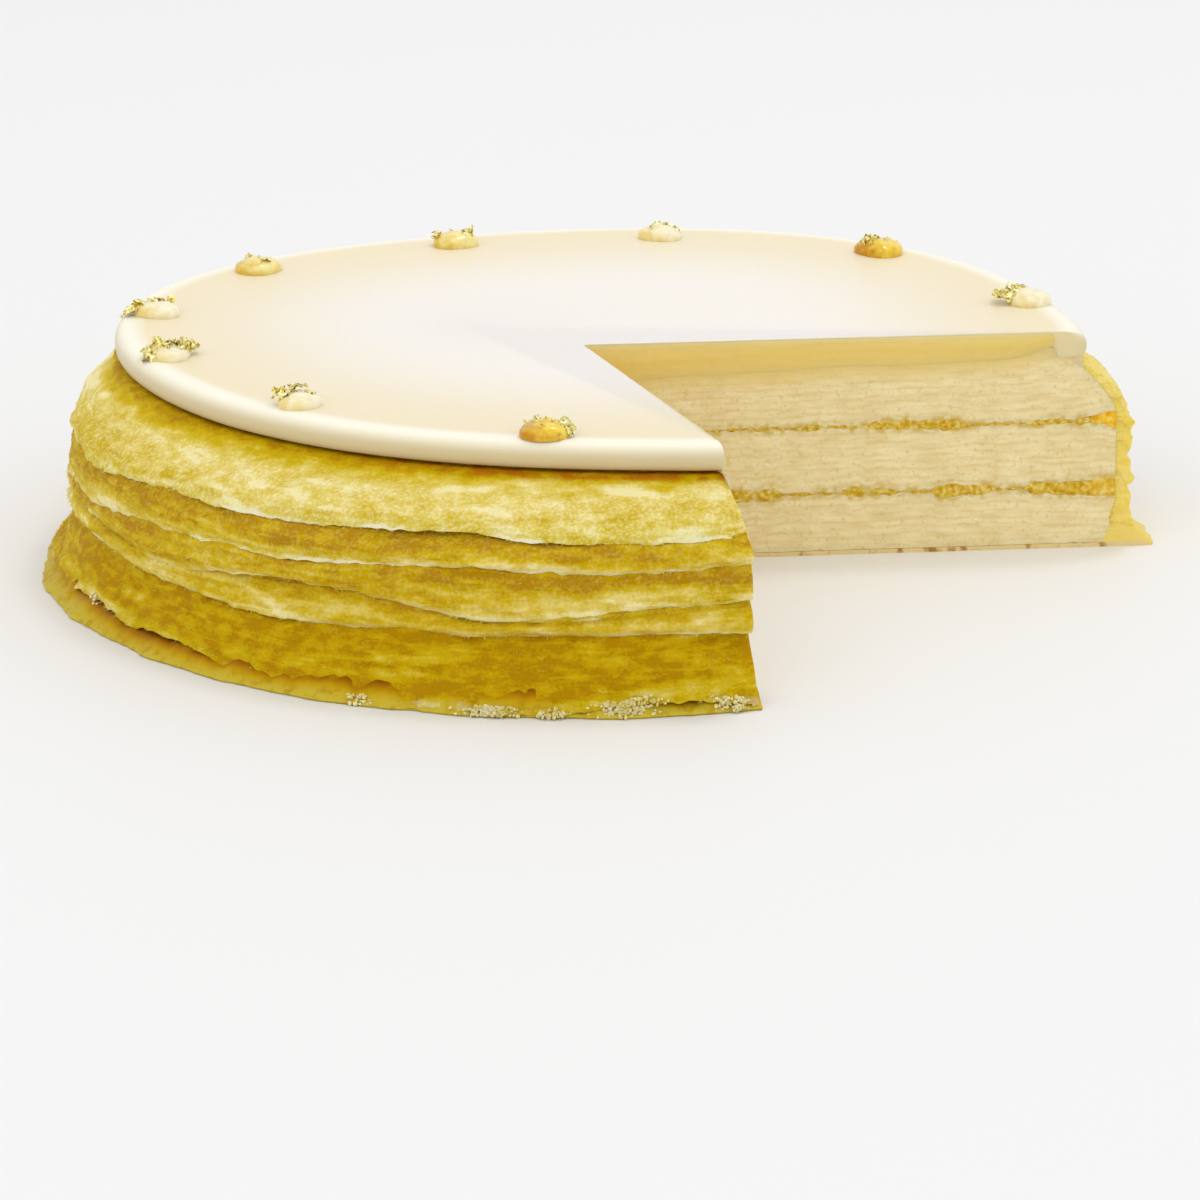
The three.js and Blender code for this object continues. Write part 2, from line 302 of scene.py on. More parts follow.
class Layer:
    """A layer of the cut cake: its outer wall and two cut faces are one closed grid of columns and rows.

    low and high give the level of its underside and top at points [x, y]. end gives the outer wall's
    [radius, height] at an angle for each row's height fraction. The cut faces bend to meet it over the
    distance blend."""

    def __init__(self, low, high, end, rows, blend=3.0):
        self.rows = rows
        steps = np.linspace(0, 1, rows)
        directions = np.linspace(BACK_CUT, FRONT_CUT, WALL_COLUMNS + 1)
        wall = [self.wall_points(directions, end, v) for v in steps]
        fractions = cut_fractions(FACE_COLUMNS)
        front = self.face_points(FRONT_CUT, [w[-1] for w in wall], fractions[::-1], low, high, steps, blend)
        back = self.face_points(BACK_CUT, [w[0] for w in wall], fractions, low, high, steps, blend)
        point = np.repeat(SLICE_POINT[None, :], 1, 0)
        middle = [np.append(point, [lerp(low(point), high(point), v)], 1) for v in steps]
        columns = [np.concatenate([w, f, m, b]) for w, f, m, b in zip(wall, front, middle, back)]
        self.points = np.stack(columns, 1)
        self.columns = len(self.points)
        self.wall_columns = len(directions)
        count = len(fractions)
        self.along = np.concatenate([np.ones(self.wall_columns), fractions[::-1], [0], fractions])
        self.normal = np.zeros((self.columns, 3))
        self.normal[self.wall_columns:self.wall_columns + count, :2] = unit(FRONT_CUT + 90)
        self.normal[self.wall_columns + count + 1:, :2] = unit(BACK_CUT - 90)
        self.height = np.broadcast_to(steps, (self.columns, rows))

    @staticmethod
    def wall_points(directions, end, v):
        angle = directions % 360
        for _ in range(4):
            radius, z = end(angle, v)
            reach = from_slice_point(directions, radius)
            flat = SLICE_POINT + reach[:, None] * unit(directions)
            angle = np.degrees(np.arctan2(flat[:, 1], flat[:, 0])) % 360
        return np.column_stack([flat, np.broadcast_to(z, len(flat))])

    @staticmethod
    def face_points(cut, ends, fractions, low, high, steps, blend):
        reach = np.mean([np.linalg.norm(e[:2] - SLICE_POINT) for e in ends])
        weight = smoothstep(1 - blend / reach, 1, fractions)
        columns = []
        for e, v in zip(ends, steps):
            own_reach = np.linalg.norm(e[:2] - SLICE_POINT)
            distance = fractions * lerp(reach, own_reach, weight)
            flat = SLICE_POINT + distance[:, None] * unit(cut)
            z = lerp(lerp(low(flat), high(flat), v), e[2], weight)
            columns.append(np.column_stack([flat, z]))
        return columns

    def on_face(self):
        """1 well inside the cut faces, falling to 0 at their edges and on the wall."""
        inside = np.where(self.normal.any(1), np.minimum(self.along, 1 - self.along), 0)
        return np.clip(inside * 60, 0, 1)[:, None] * np.ones(self.rows)

    def on_wall(self):
        """1 on the outer wall, 0 on the cut faces."""
        outside = np.arange(self.columns) < self.wall_columns
        outside[[0, self.wall_columns - 1]] = False
        return outside[:, None] * np.ones(self.rows)

    def flat_points(self):
        return self.points.reshape(-1, 3)

    def relief(self, depth):
        """Moves the cut faces in or out by depth at each vertex."""
        shift = (depth.reshape(self.columns, self.rows) * self.on_face())[:, :, None]
        self.points = self.points + shift * self.normal[:, None, :]

    def centres(self):
        """A point on the underside and one on the top that see their whole outline."""
        flat = SLICE_POINT + FAN_REACH * unit((BACK_CUT + FRONT_CUT) / 2)
        middle = self.points[self.wall_columns + FACE_COLUMNS - 1]
        return [[*flat, middle[0, 2]], [*flat, middle[-1, 2]]]

    def fan(self, row, centre):
        """Faces from a centre to a row all round, facing up."""
        ring = [i * self.rows + row for i in range(self.columns)]
        return [[centre, here, after] for here, after in zip(ring, ring[1:] + ring[:1])]

    def faces(self, top_open=False):
        """The faces, where the two centres follow the grid's own vertices."""
        count = self.columns * self.rows
        faces = grid_faces(self.columns, self.rows, closed=True)
        faces += [face[::-1] for face in self.fan(0, count)]
        if not top_open:
            faces += self.fan(self.rows - 1, count + 1)
        return faces

    def make(self, node, material, attributes):
        """The layer's piece. attributes are numbers for each vertex of the grid."""
        vertices = np.concatenate([self.flat_points(), self.centres()])
        padded = {key: np.append(values, [0, 0]) for key, values in attributes.items()}
        return make_piece(node, vertices, self.faces(), material, [node], padded)


# ---------------------------------------------------------------- material helpers

def linear(colour):
    """A screen colour (red, green, blue) from 0 to 255 as the linear colour that shaders use."""
    shares = (channel / 255 for channel in colour)
    return (*(c / 12.92 if c <= 0.04045 else ((c + 0.055) / 1.055) ** 2.4 for c in shares), 1.0)


class Shader:
    """A material's node tree with short ways to add what the looks need."""

    def __init__(
        self, name, roughness=0.5, specular=0.5, subsurface=0.0, radius=(0.004, 0.003, 0.0015), **inputs
    ):
        self.material = bpy.data.materials.new(name)
        self.material.use_nodes = True
        self.nodes = self.material.node_tree.nodes
        self.links = self.material.node_tree.links
        self.surface = self.nodes["Principled BSDF"]
        self.set("Roughness", roughness)
        self.set("Specular IOR Level", specular)
        self.set("Subsurface Weight", subsurface)
        self.set("Subsurface Radius", radius)
        self.set("Subsurface Scale", 1.0)
        for key, value in inputs.items():
            self.set(key.replace("_", " "), value)
        self.place = self.nodes.new("ShaderNodeTexCoord").outputs["Object"]

    def set(self, socket, value):
        self.surface.inputs[socket].default_value = value

    def join(self, output, socket):
        self.links.new(output, self.surface.inputs[socket])

    def noise(self, size, detail=3.0, stretch=(1, 1, 1)):
        """Noise with lumps about size millimetres across, as an output from 0 to 1."""
        mapping = self.nodes.new("ShaderNodeMapping")
        mapping.inputs["Scale"].default_value = tuple(1 / (size * MM * s) for s in stretch)
        self.links.new(self.place, mapping.inputs["Vector"])
        texture = self.nodes.new("ShaderNodeTexNoise")
        texture.inputs["Scale"].default_value = 1.0
        texture.inputs["Detail"].default_value = detail
        self.links.new(mapping.outputs["Vector"], texture.inputs["Vector"])
        return texture.outputs["Fac"]

    def attribute(self, name):
        node = self.nodes.new("ShaderNodeAttribute")
        node.attribute_name = name
        return node.outputs["Fac"]

    def through(self, value, stops):
        """Maps a value through (position, linear colour) stops."""
        node = self.nodes.new("ShaderNodeValToRGB")
        elements = node.color_ramp.elements
        while len(elements) < len(stops):
            elements.new(0.5)
        for element, (position, colour) in zip(elements, stops):
            element.position = position
            element.color = colour
        self.links.new(value, node.inputs["Fac"])
        return node.outputs["Color"]

    def ramp(self, value, *stops):
        """Maps a value through (position, screen colour) stops."""
        return self.through(value, [(position, linear(colour)) for position, colour in stops])

    def steps(self, value, *stops):
        """Maps a value through (position, number) stops."""
        return self.through(value, [(position, (n, n, n, 1)) for position, n in stops])

    def mix(self, factor, below, colour):
        """Lays a screen colour, or a colour output, over another by a factor from 0 to 1."""
        node = self.nodes.new("ShaderNodeMix")
        node.data_type = "RGBA"
        above = linear(colour) if isinstance(colour, tuple) else colour
        colours = [socket for socket in node.inputs if socket.type == "RGBA"]
        self.feed([node.inputs["Factor"], *colours], [factor, below, above])
        return next(output for output in node.outputs if output.type == "RGBA")

    def math(self, operation, first, second, clamp=False):
        node = self.nodes.new("ShaderNodeMath")
        node.operation = operation
        node.use_clamp = clamp
        self.feed(node.inputs, [first, second])
        return node.outputs["Value"]

    def feed(self, sockets, values):
        """Links each socket to its value, or sets it where the value is a number or a colour."""
        for socket, value in zip(sockets, values):
            if isinstance(value, bpy.types.NodeSocket):
                self.links.new(value, socket)
            else:
                socket.default_value = value

    def bump(self, height, distance):
        """Relief of distance millimetres from a height output, on top of any earlier bump."""
        node = self.nodes.new("ShaderNodeBump")
        node.inputs["Distance"].default_value = distance * MM
        node.inputs["Strength"].default_value = 1.0
        self.links.new(height, node.inputs["Height"])
        normal = self.surface.inputs["Normal"]
        if normal.is_linked:
            self.links.new(normal.links[0].from_socket, node.inputs["Normal"])
        self.links.new(node.outputs["Normal"], normal)


# ---------------------------------------------------------------- materials

def cream_material():
    """Cream, warmer towards the rim, brightest with a painted highlight along the top of its rim, darker
    with painted shade on the rim's lower part, and beige with painted shade where it is cut.
    """
    shader = Shader(
        "cream_look", roughness=0.4, specular=0.25, subsurface=0.15, Coat_Weight=0.06, Coat_Roughness=0.25,
    )
    tint = shader.ramp(shader.attribute("rimward"), (0.0, (247, 240, 231)), (1.0, (243, 228, 192)))
    # A painted highlight along the rounded top of the rim.
    tint = shader.mix(shader.attribute("lip_highlight"), tint, (254, 249, 230))
    # Painted shade on the lower part of the rim, as if lit from above.
    tint = shader.mix(shader.attribute("under"), tint, (216, 200, 158))
    # Painted shade: the upright cut faces are beige as if in shade.
    tint = shader.mix(shader.attribute("cut"), tint, (227, 211, 162))
    pores = shader.steps(shader.noise(0.9, detail=2), (0.26, 0.35), (0.34, 0.0))
    shader.join(shader.mix(pores, tint, (226, 212, 180)), "Base Color")
    shader.bump(shader.noise(1.2, detail=3), 0.03)
    shader.bump(shader.noise(14, detail=2), 0.12)
    return shader.material


def custard_material():
    """Custard, deepest in colour in its lower half, with faint level streaks."""
    shader = Shader("custard_look", roughness=0.42, specular=0.2, subsurface=0.2)
    tint = shader.ramp(
        shader.attribute("height"),
        (0.0, (231, 202, 122)), (0.5, (235, 205, 114)), (0.85, (238, 212, 130)), (1.0, (243, 224, 158)),
    )
    streaks = shader.steps(shader.noise(1.2, detail=3, stretch=(14, 14, 1)), (0.3, 0.2), (0.7, 0.0))
    shader.join(shader.mix(streaks, tint, (218, 180, 84)), "Base Color")
    shader.bump(shader.noise(0.8, detail=3, stretch=(4, 4, 1)), 0.05)
    return shader.material


def stack_material():
    """Cream with the thin edges of the crepes running through it, and crepe skin on its outer wall,
    deepened to orange-brown as painted shade of the gaps under the hems.
    """
    shader = Shader("crepe_stack_look", roughness=0.7, specular=0.15, subsurface=0.2)
    wander = shader.noise(9, detail=4, stretch=(1, 1, 0.3))
    phase = shader.math("ADD", shader.attribute("phase"), shader.math("MULTIPLY", wander, 0.8))
    wave = shader.math("PINGPONG", phase, 0.5)
    crepe = shader.steps(wave, (0.0, 0.5), (0.2, 0.3), (0.36, 0.0))
    broken = shader.steps(shader.noise(8, detail=4, stretch=(1, 1, 0.1)), (0.4, 0.0), (0.62, 1.0))
    mottle = shader.noise(2.5, detail=6, stretch=(2, 2, 0.7))
    tint = shader.ramp(mottle, (0.3, (232, 211, 156)), (0.7, (246, 230, 182)))
    lined = shader.mix(shader.math("MULTIPLY", crepe, broken), tint, (220, 190, 114))
    pores = shader.steps(shader.noise(0.9, detail=5), (0.3, 0.55), (0.44, 0.0))
    lined = shader.mix(pores, lined, (214, 188, 118))
    lined = shader.mix(shader.attribute("custard"), lined, (232, 203, 124))
    lined = shader.mix(shader.attribute("crumbs"), lined, (212, 176, 74))
    # Crepe skin colour, deepened to orange-brown as painted shade of the gaps under the hems.
    skin = shader.ramp(shader.noise(3, detail=3), (0.3, (176, 116, 4)), (0.7, (206, 156, 20)))
    shader.join(shader.mix(shader.attribute("skin"), lined, skin), "Base Color")
    shader.bump(shader.math("MULTIPLY", crepe, broken), -0.06)
    shader.bump(shader.noise(0.5, detail=3), 0.14)
    return shader.material


def filling_material():
    """Golden crumbs, stained orange where the filling reaches the outside."""
    shader = Shader("filling_look", roughness=0.6, specular=0.2, subsurface=0.15)
    lumps = shader.noise(1.0, detail=3)
    tint = shader.ramp(lumps, (0.3, (188, 138, 8)), (0.5, (216, 176, 44)), (0.68, (238, 212, 128)))
    stain = shader.ramp(
        shader.noise(1.6, detail=4),
        (0.35, (238, 158, 0)), (0.5, (246, 192, 30)), (0.66, (246, 220, 120)),
    )
    shader.join(shader.mix(shader.attribute("outer"), tint, stain), "Base Color")
    shader.bump(lumps, 0.25)
    return shader.material


def drape_material():
    """Crepe skin from pale straw to deep mustard, creased and grainy, with a pale thin edge."""
    glow = (0.0018, 0.0013, 0.0003)
    shader = Shader("draped_crepe_look", roughness=0.6, specular=0.05, subsurface=0.3, radius=glow)
    streaks = shader.noise(2.2, detail=6, stretch=(1.8, 1.8, 0.9))
    milky = shader.steps(shader.noise(6, detail=5, stretch=(2.4, 2.4, 0.5)), (0.52, 0.0), (0.72, 0.38))
    creases = shader.noise(1.5, detail=6, stretch=(8, 8, 0.9))
    grain = shader.steps(shader.noise(0.7, detail=5), (0.45, 0.0), (0.66, 0.7))
    pale = shader.math("ADD", milky, shader.steps(creases, (0.54, 0.0), (0.74, 0.3)))
    pale = shader.math("ADD", pale, shader.math("MULTIPLY", grain, 0.18))
    spread = shader.math("MULTIPLY", shader.math("SUBTRACT", streaks, 0.5), 1.1)
    spread = shader.math("SUBTRACT", spread, pale)
    depth = shader.math("ADD", shader.attribute("depth"), spread, clamp=True)
    body = shader.ramp(
        depth,
        (0.0, (248, 233, 168)), (0.3, (229, 205, 96)), (0.6, (211, 180, 14)),
        (0.85, (199, 161, 0)), (1.0, (184, 139, 0)),
    )
    body = shader.mix(shader.attribute("golden"), body, (252, 220, 96))
    body = shader.mix(shader.math("MULTIPLY", grain, shader.attribute("frost")), body, (255, 247, 214))
    spots = shader.steps(shader.noise(2.6, detail=3, stretch=(1.6, 1.6, 0.6)), (0.42, 0.0), (0.6, 1.0))
    body = shader.mix(shader.math("MULTIPLY", shader.attribute("brown"), spots), body, (184, 110, 8))
    shader.join(shader.mix(shader.attribute("edge"), body, (252, 242, 200)), "Base Color")
    shader.bump(shader.noise(0.6, detail=4, stretch=(1, 1, 1.6)), 0.45)
    shader.bump(shader.noise(2.4, detail=4, stretch=(2.0, 2.0, 0.7)), 0.5)
    shader.bump(creases, 0.8)
    return shader.material


def base_material():
    """The lowest crepe: olive yellow at its rim, dark orange-brown painted shade under the hem, beige where
    it is cut.
    """
    glow = (0.002, 0.0014, 0.0004)
    shader = Shader("base_crepe_look", roughness=0.45, specular=0.05, subsurface=0.05, radius=glow)
    # Painted shade: the crepe turns dark orange-brown further in under the hem.
    tint = shader.ramp(
        shader.attribute("inner"),
        (0.0, (204, 182, 56)), (0.3, (196, 158, 6)), (0.55, (172, 118, 0)), (0.8, (138, 82, 0)),
    )
    spots = shader.steps(shader.noise(2.2, detail=4), (0.5, 0.0), (0.66, 0.6))
    tint = shader.mix(spots, tint, (178, 136, 0))
    tint = shader.mix(shader.attribute("pale"), tint, (246, 222, 122))
    browned = shader.ramp(shader.noise(3.2, detail=3), (0.56, (230, 206, 146)), (0.68, (176, 126, 44)))
    shader.join(shader.mix(shader.attribute("cut"), tint, browned), "Base Color")
    shader.bump(shader.noise(1.1, detail=4), 0.2)
    return shader.material


def gel_material(name, clear, deep):
    """Jelly over cream: painted light within, and painted shade deepening its colour towards its foot and
    one side.
    """
    shader = Shader(
        name, roughness=0.12, specular=0.15, subsurface=0.25, radius=(0.002, 0.0016, 0.0006),
        Coat_Weight=0.5, Coat_Roughness=0.04, Coat_IOR=1.38,
    )
    mottle = shader.math("MULTIPLY", shader.noise(1.8, detail=3), 1.6)
    depth = shader.math("ADD", shader.attribute("depth"), shader.math("SUBTRACT", mottle, 0.8), clamp=True)
    shader.join(shader.ramp(depth, (0.1, clear), (0.9, deep)), "Base Color")
    return shader.material


def gold_material():
    """Lemon gold with olive specks and near-white painted glints."""
    shader = Shader("gold_leaf_look", roughness=0.3, Metallic=1.0)
    # The near-white end of the ramp is painted glints.
    tint = shader.ramp(
        shader.noise(0.6, detail=4),
        (0.34, (120, 108, 26)), (0.44, (226, 202, 88)), (0.6, (255, 250, 200)),
    )
    shader.join(tint, "Base Color")
    shader.bump(shader.noise(0.45, detail=3), 0.12)
    return shader.material


# ---------------------------------------------------------------- crepe stacks, fillings, custard

# Distances in from the rim where the custard starts to taper and where it ends, and its depth there.
CUSTARD_TAPER = 16.0
CUSTARD_TIP = 6.7
CUSTARD_TIP_DEPTH = 2.2
# The cream over the custard, the thickness of a crepe with its cream, and a stack's rows of vertices.
CAP_SKIN = 0.25
CREPE_PITCH = 1.45
ROW_HEIGHT = 0.4


def polar(flat):
    """Angle from 0 to 360 and distance from the axis of points [x, y]."""
    return np.degrees(np.arctan2(flat[:, 1], flat[:, 0])) % 360, np.hypot(flat[:, 0], flat[:, 1])


def with_height(flat, z=0.0):
    return np.column_stack([flat[:, :2], np.broadcast_to(z, len(flat))])


CUSTARD_BOTTOM, CUSTARD_TOP = heights("custard")


def custard_low(flat):
    """The custard's underside: deepest in the middle, and rising to its tip near the rim."""
    angle, distance = polar(flat)
    from_rim = CAP_RADIUS(angle) - distance
    outward = np.clip(distance / (distance + from_rim - CUSTARD_TIP), 0, 1)
    depth = lerp(CUSTARD_TOP - CUSTARD_BOTTOM, 4.4, np.sqrt(outward))
    tip = smoothstep(CUSTARD_TAPER, CUSTARD_TIP, from_rim) ** 1.3
    sway = 0.35 * noise(with_height(flat), 16, seed=3) * (1 - tip)
    return CUSTARD_TOP - lerp(depth, CUSTARD_TIP_DEPTH, tip) + sway


def filling_band(node, thick, seed):
    """The two sides of a crumbly filling, which swells and thins, as functions of points [x, y]."""
    mid_height = sum(heights(node)) / 2

    def half(flat, side):
        spots = with_height(flat)
        patchy = smoothstep(-0.5, 0.5, noise(spots, 7.5, seed) + 0.5 * noise(spots, 2.6, seed + 1))
        angle, distance = polar(flat)
        inward = wall_radius(angle, np.full(len(flat), mid_height)) - distance
        edge = smoothstep(12, 2, inward)
        crumbs = 0.26 * noise(spots, 1.3, seed + side) + 0.14 * noise(spots, 0.6, seed + side + 1)
        return np.maximum(0.12, 0.5 * thick * (0.2 + 0.8 * patchy + 0.4 * edge) + crumbs)

    def middle(flat):
        return mid_height + 0.35 * noise(with_height(flat), 12, seed + 3)

    return (lambda flat: middle(flat) - half(flat, 4)), (lambda flat: middle(flat) + half(flat, 6))


LOWER_BAND = filling_band("lower_filling", 2.7, seed=21)
UPPER_BAND = filling_band("upper_filling", 2.3, seed=31)


def level(z):
    return lambda flat: np.full(len(flat), z)


def cut_relief(points):
    """The unevenness of the cut faces, which runs on from layer to layer."""
    pits = np.minimum(0, noise(points, 0.9, 7) + 0.5) * 0.4
    return 0.13 * fractal(points, (3.2, 3.2, 0.8), 3, 5) + pits


def under_cap(flat):
    """The top of the upper stack: up to the custard, and down to the cream's foot under the rim."""
    angle, distance = polar(flat)
    from_rim = CAP_RADIUS(angle) - distance
    foot = heights("cream_cap")[0]
    return lerp(custard_low(flat), foot, smoothstep(CUSTARD_TIP, CUSTARD_TIP - 0.5, from_rim))


def stack_end(low, high):
    """The outer wall of a stack between two surfaces."""
    def end(angle, v):
        nominal = wall_radius(angle, np.full(len(angle), 20.0))[:, None] * unit(angle)
        z = lerp(low(nominal), high(nominal), v)
        return wall_radius(angle, z), z
    return end


def beside_filling(points):
    """1 on the crumbs that stray from a filling into the stacks, falling to 0 away from it."""
    flat, z = points[:, :2], points[:, 2]
    gaps = [np.maximum(low(flat) - z, z - high(flat)) for low, high in (LOWER_BAND, UPPER_BAND)]
    return smoothstep(1.5, 0.1, np.min(gaps, 0)) * smoothstep(-0.15, 0.45, noise(points, 1.1, 15))


def make_stack(node, low, high, material, seed):
    """A stack of crepes and cream between two surfaces."""
    thickness = heights(node)[1] - heights(node)[0]
    layer = Layer(low, high, stack_end(low, high), rows=round(thickness / ROW_HEIGHT))
    points = layer.flat_points()
    phase = layer.height.ravel() * round(thickness / CREPE_PITCH) + 0.3 * noise(points, (22, 22, 6), seed)
    layer.relief(cut_relief(points))
    attributes = {
        "phase": phase,
        # The outer wall takes crepe skin with painted shade.
        "skin": layer.on_wall().ravel(),
        "crumbs": 0.8 * beside_filling(points),
        "custard": 0.85 * smoothstep(4.5, 0, custard_low(points[:, :2]) - points[:, 2]),
    }
    layer.make(node, material, attributes)


def make_filling(node, band, material, seed, stain):
    """A crumbly filling, swollen at the cuts and stained towards the outside."""
    layer = Layer(*band, stack_end(*band), rows=8, blend=1.5)
    points = layer.flat_points()
    swell = np.sin(math.pi * layer.height.ravel())
    layer.relief(cut_relief(points) + swell * (0.3 * fractal(points, (1.6, 1.6, 1.1), 2, seed) + 0.1))
    angle, distance = polar(points)
    inward = wall_radius(angle, points[:, 2]) - distance
    outer = stain * smoothstep(7, 2, inward + 3 * noise(points, 2.5, seed + 1))
    layer.make(node, material, {"outer": outer})


def make_custard(material):
    """The custard, rounded where it ends inside the rim."""
    top = heights("cream_cap")[1] - CAP_SKIN

    def end(angle, v):
        reach = CAP_RADIUS(angle) - CUSTARD_TIP
        low = custard_low(reach[:, None] * unit(angle))
        return reach - 0.9 * (2 * v - 1) ** 2, lerp(low, top, v)

    layer = Layer(custard_low, level(top), end, rows=14, blend=2.5)
    layer.relief(cut_relief(layer.flat_points()) - 0.03)
    layer.make("custard", material, {"height": layer.height.ravel()})


# ---------------------------------------------------------------- cream cap

RIM_PROFILE = (
    # distance in from the rim, share of the cap's depth
    (2.6, 0.0), (1.6, 0.0), (0.95, 0.03), (0.45, 0.1), (0.14, 0.22), (0.0, 0.38), (0.02, 0.53), (0.2, 0.67),
    (0.58, 0.79), (1.15, 0.885), (1.9, 0.95), (2.8, 0.985), (3.8, 1.0),
)
# How far in from the rim the cap's cut faces start to follow its rounded shape.
CAP_BLEND = 4.2
# Points on a cut's top edge to each point along a spoke of the cap's top.
TOP_STEP = 4
BASE_PROFILE = (
    # distance in from the edge, and share of the thickness, where each 1 past 1 is a millimetre above it
    (1.6, 0.0), (0.5, 0.0), (0.1, 0.25), (0.0, 0.5), (0.15, 0.8), (0.5, 0.98),
    (1.1, 1.5), (1.9, 2.2), (2.9, 3.0), (4.0, 3.7), (5.6, 4.3), (8.0, 4.6),
)


def make_cream_cap(material):
    """The cap: a thin skin over the custard, with a deep rounded rim outside it."""
    bottom, top = heights("cream_cap")
    inset, share = np.array(RIM_PROFILE).T

    def end(angle, v):
        row = round(v * (len(RIM_PROFILE) - 1))
        sway = 0.25 * noise(with_height(60 * unit(angle)), 14, seed=52)
        return CAP_RADIUS(angle) - inset[row] + sway * (1 - share[row]), lerp(bottom, top, share[row])

    def low(flat):
        angle, distance = polar(flat)
        from_rim = CAP_RADIUS(angle) - distance
        return lerp(top - CAP_SKIN, bottom, smoothstep(CUSTARD_TIP - 0.1, CUSTARD_TIP - 0.7, from_rim))

    cap = Layer(low, level(top), end, rows=len(RIM_PROFILE), blend=CAP_BLEND)
    cap.relief(cut_relief(cap.flat_points()))
    wall = cap.points[:cap.wall_columns, -1]
    fractions = cut_fractions(FACE_COLUMNS)[TOP_STEP - 1::TOP_STEP]
    start = np.array([*SLICE_POINT, top])
    spokes = (start + (wall[1:-1, None, :] - start) * fractions[None, :, None]).reshape(-1, 3)
    vertices = np.concatenate([cap.flat_points(), cap.centres()[:1], spokes])
    faces = cap.faces(top_open=True) + top_faces(cap, len(fractions))
    angle, distance = polar(vertices)
    from_rim = CAP_RADIUS(angle) - distance
    share_up = (vertices[:, 2] - bottom) / (top - bottom)
    attributes = {
        "rimward": smoothstep(62, 6, from_rim),
        # Painted highlight along the rounded top of the rim.
        "lip_highlight": smoothstep(7, 3.8, from_rim),
        # Painted shade, darker down the rim's outer face.
        "under": np.interp(share_up, (0.5, 0.68, 0.85, 0.97), (1, 0.75, 0.35, 0)),
        # Where the cut faces get their painted shade in beige.
        "cut": np.concatenate([cap.on_face().ravel(), np.zeros(1 + len(spokes))]),
    }
    make_piece("cream_cap", vertices, faces, material, ["cream_cap"], attributes)


def top_faces(cap, ring_count):
    """Faces of the cap's top, between the spokes from the slice's point to the rim."""
    start = cap.columns * cap.rows + 1
    top_row = cap.rows - 1
    count = FACE_COLUMNS - 1
    front = [(cap.wall_columns + count - 1 - k) * cap.rows + top_row for k in range(count)]
    back = [(cap.wall_columns + count + 1 + k) * cap.rows + top_row for k in range(count)]
    point = (cap.wall_columns + count) * cap.rows + top_row
    rims = [i * cap.rows + top_row for i in range(cap.wall_columns)]
    spokes = [back[TOP_STEP - 1::TOP_STEP]]
    for i in range(cap.wall_columns - 2):
        spokes.append([start + i * ring_count + k for k in range(ring_count)])
    spokes.append(front[TOP_STEP - 1::TOP_STEP])
    fine = {0: [point, *back, rims[0]], cap.wall_columns - 1: [point, *front, rims[-1]]}
    faces = []
    for i in range(cap.wall_columns - 1):
        here = [point, *spokes[i], rims[i]]
        there = [point, *spokes[i + 1], rims[i + 1]]
        for k in range(len(here) - 1):
            span = slice(k * TOP_STEP, (k + 1) * TOP_STEP + 1)
            near = fine[i][span] if i in fine else here[k:k + 2]
            far = fine[i + 1][span] if i + 1 in fine else there[k:k + 2]
            loop = list(near) + list(far)[::-1]
            faces.append(list(dict.fromkeys(loop)))
    return faces


# ---------------------------------------------------------------- draped crepes and base crepe

# The nominal radius at which the noise on the side of the cake is read.
SIDE_RADIUS = 110.0
# How far down a drape the noise is read at its hem, whatever the drape's height.
HEM_DEPTH = 14.0
# Angles: where painted shade darkens the top drape under the rim and deepens it to the left, where the
# lowest hem is lifted off the base, and where the drapes turn pale and golden beside the back cut.
SHADED = (262, 235, 228, 208)
SHADED_LEFT = (236, 200, 196, 180)
LIFTED = (236, 224, 194, 178)
PALE_END = (24, 10)
GOLDEN_END = (26, 10)
# The lowest that a hem hangs, in millimetres above the ground.
LOWEST_HEM = 0.6


def window(angle, stretch):
    """1 between the two middle angles of a stretch, falling to 0 at its two outer ones."""
    high, high_full, low_full, low = stretch
    return smoothstep(high, high_full, angle) * smoothstep(low, low_full, angle)


def drape_table(node):
    """The four outer [radius, height] points of a CAD drape at each section, top first."""
    known = {}
    for k, points in section_points(node).items():
        steps = np.unique(np.round(points[:, 1], 2))[::-1]
        known[k] = [(points[np.abs(points[:, 1] - z) < 0.02, 0].max(), z) for z in steps]
    return Around(known)


def through_four(points, t):
    """The smooth curve through four points, at t from 0 to 1. points is [..., 4, 2]."""
    a, b, c, d = np.moveaxis(points, -2, 0)
    t = np.asarray(t)[..., None]
    u, v, w = 3 * t - 1, 3 * t - 2, t - 1
    return -a * u * v * w / 2 + 4.5 * b * t * v * w - 4.5 * c * t * u * w + d * t * u * v / 2


def drape_surface(node, index):
    """The angle, radius and height of a drape's outer surface, and how far down it each vertex is."""
    table = drape_table(node)
    share = np.linspace(0, 1, DRAPE_COLUMNS)[:, None] * np.ones(DRAPE_ROWS)
    t = (1 - (1 - np.linspace(0, 1, DRAPE_ROWS)) ** 1.35) * np.ones((DRAPE_COLUMNS, 1))
    # Each drape ends a little further in from the cuts, in degrees, so that no two ends lie in one plane.
    inset = 0.03 * (index + 1)
    radius = np.full(share.shape, SIDE_RADIUS)
    for _ in range(3):
        first = corner_angle(BACK_CUT, radius) + inset
        angle = lerp(first, corner_angle(FRONT_CUT, radius) - inset, share)
        radius, z = np.moveaxis(through_four(table(angle), t), -1, 0)
    return angle, radius, z, t


